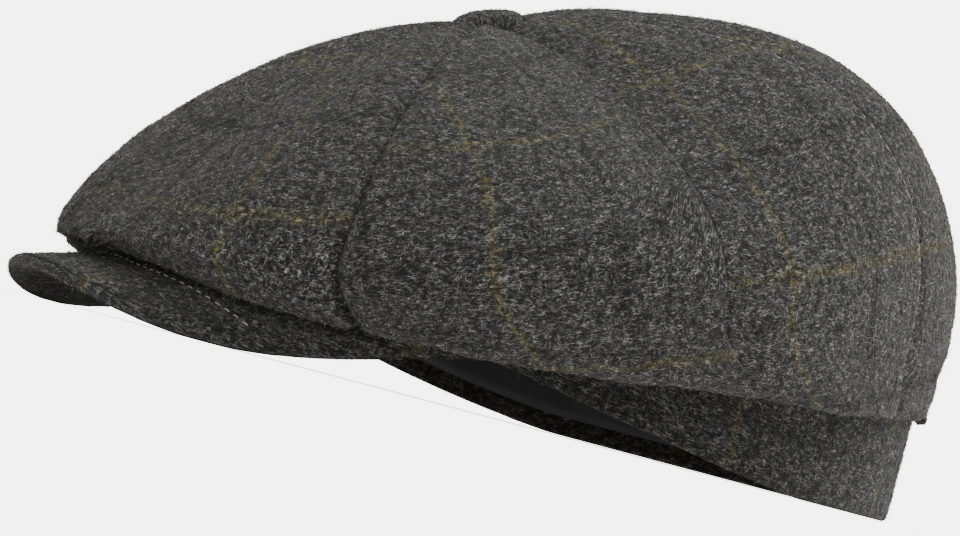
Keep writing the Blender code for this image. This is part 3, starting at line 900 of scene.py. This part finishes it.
def polyester_thread():
    """Spun polyester sewing thread, pale grey, dull from its twist."""
    material, tree, shader = new_material("pale_polyester_thread")
    places = add_node(tree, "ShaderNodeTexCoord").outputs["Object"]
    twist = {"Vector": places, "Scale": 1 / TWIST_SIZE}
    twist = add_node(tree, "ShaderNodeTexNoise", twist).outputs[0]
    colours = {0: twist, 6: linear("#8c8a85"), 7: linear("#cfcdc7")}
    colour = add_node(tree, "ShaderNodeMix", colours, data_type="RGBA").outputs[2]
    tree.links.new(colour, shader.inputs["Base Color"])
    shader.inputs["Roughness"].default_value = 0.6
    return material


thread = polyester_thread()


def lip_row():
    """A line on the peak's top that follows the crown's lip at a set distance, and the way out of it."""
    angles = np.linspace(-pi / 2, pi / 2, 361)
    lip = crown_point(angles, np.full(len(angles), 2.0))
    lip_turn = np.arctan2(lip[:, 0], -lip[:, 1])
    lip_reach = np.hypot(lip[:, 0], lip[:, 1])
    outs = np.linspace(0.2, 0.97, 120)
    line = []
    for share in np.linspace(-0.80, 0.80, 241):
        track = peak_top(np.full(len(outs), share), outs)
        turn = np.arctan2(track[:, 0], -track[:, 1])
        clear = np.hypot(track[:, 0], track[:, 1]) - np.interp(turn, lip_turn, lip_reach)
        if clear[-1] > LIP_CLEAR:
            line.append([np.interp(LIP_CLEAR, clear, track[:, axis]) for axis in range(3)])
    line = np.array(line)
    return line + OPENING, np.broadcast_to([0.0, 0.0, 1.0], line.shape)


def seam_row(seam):
    """A line in front of one of the crown's back seams, from near the button to just above the lip, and
    the way out of the cloth along it."""
    runs = np.linspace(0.12, 1.75, 200)
    angles = np.full(len(runs), radians(seam))
    outward, width = crown_face(angles, runs)
    forward = -SEAM_ROW_CLEAR / width if seam < 180 else SEAM_ROW_CLEAR / width
    return crown_point(angles + forward, runs) + OPENING, outward


dress(stitches("peak_topstitching", *lip_row(), LIP_SINK), "wool_tweed")
for place, seam in enumerate(BACK_CORNER_SEAMS):
    row = stitches(f"seam_topstitching_{place + 1}", *seam_row(seam), SEAM_ROW_SINK)
    dress(row, "wool_tweed")

# Studio: a pale floor that takes the soft shadow and glows faintly, as a light table does, a wide softbox
# overhead, a weaker one beside the camera, and a pale room that is brightest behind the cap. The camera
# looks from the wearer's front left, just over the floor, rolled as the photograph is.

AZIMUTH = radians(65)
ELEVATION = radians(-1.45)
ROLL = radians(14.9)
DISTANCE = 1.5
LENS_MM = 201.7
PIXELS_PER_METRE = 3585
FRAME_PIXELS = (960, 536)
PIVOT = OPENING + np.array([0.0, -0.020, 0.055])
PIVOT_PIXEL = (536.4, 225.6)
FLOOR_PAINT = "#ecebe9"
FLOOR_GLOW = 0.32
ROOM_PAINT = "#fafaf9"
ROOM_FRONT = 0.45
ROOM_BACK = 1.30
BACKDROP = 6.0

bpy.ops.object.select_all(action="DESELECT")
bpy.ops.mesh.primitive_plane_add(size=14)
floor = bpy.context.active_object
floor.name = "studio_floor"
floor_paint, tree, shader = new_material("pale_studio_floor")
shader.inputs["Base Color"].default_value = linear(FLOOR_PAINT)
shader.inputs["Roughness"].default_value = 0.8
shader.inputs["Emission Color"].default_value = linear(FLOOR_PAINT)
shader.inputs["Emission Strength"].default_value = FLOOR_GLOW
floor.data.materials.append(floor_paint)
floor.is_shadow_catcher = True

Lamp = namedtuple("Lamp", "name towards angle strength")
LAMPS = (
    Lamp("overhead_softbox", (0.35, 0.4, 1.0), 60, 2.6),
    Lamp("side_softbox", (1.0, 0.1, 0.3), 60, 0.5),
)
for lamp in LAMPS:
    light = bpy.data.lights.new(lamp.name, "SUN")
    light.angle = radians(lamp.angle)
    light.energy = lamp.strength
    holder = bpy.data.objects.new(lamp.name, light)
    holder.rotation_euler = Vector(lamp.towards).to_track_quat("Z", "Y").to_euler()
    bpy.context.scene.collection.objects.link(holder)

world = bpy.data.worlds.new("pale_room")
world.use_nodes = True
room = world.node_tree.nodes["Background"]
room.inputs["Color"].default_value = linear(ROOM_PAINT)
# The camera sees an even backdrop, and the cap is lit by the room's glow from front to back
seen = add_node(world.node_tree, "ShaderNodeLightPath").outputs["Is Camera Ray"]
way = add_node(world.node_tree, "ShaderNodeTexCoord").outputs["Generated"]
way = add_node(world.node_tree, "ShaderNodeSeparateXYZ", {0: way}).outputs["Y"]
glow = {"Value": way, "From Min": -1.0, "From Max": 1.0, "To Min": ROOM_FRONT, "To Max": ROOM_BACK}
glow = add_node(world.node_tree, "ShaderNodeMapRange", glow).outputs[0]
strength = {0: seen, 2: glow, 3: BACKDROP}
strength = add_node(world.node_tree, "ShaderNodeMix", strength, data_type="FLOAT").outputs[0]
world.node_tree.links.new(strength, room.inputs["Strength"])
bpy.context.scene.world = world

# The camera's own axes, and its place, from which PIVOT falls on PIVOT_PIXEL of the photograph's frame
back = Vector((sin(AZIMUTH) * cos(ELEVATION), -cos(AZIMUTH) * cos(ELEVATION), sin(ELEVATION)))
level_right = Vector((cos(AZIMUTH), sin(AZIMUTH), 0.0))
level_up = back.cross(level_right)
right = level_right * cos(ROLL) + level_up * sin(ROLL)
up = level_up * cos(ROLL) - level_right * sin(ROLL)
off_right = (PIVOT_PIXEL[0] - FRAME_PIXELS[0] / 2) / PIXELS_PER_METRE
off_up = (FRAME_PIXELS[1] / 2 - PIVOT_PIXEL[1]) / PIXELS_PER_METRE
view = bpy.data.cameras.new("camera")
view.lens = LENS_MM
camera = bpy.data.objects.new("camera", view)
camera.matrix_world = Matrix((right, up, back)).transposed().to_4x4()
camera.location = Vector(PIVOT) - off_right * right - off_up * up + DISTANCE * back
bpy.context.scene.collection.objects.link(camera)
bpy.context.scene.camera = camera
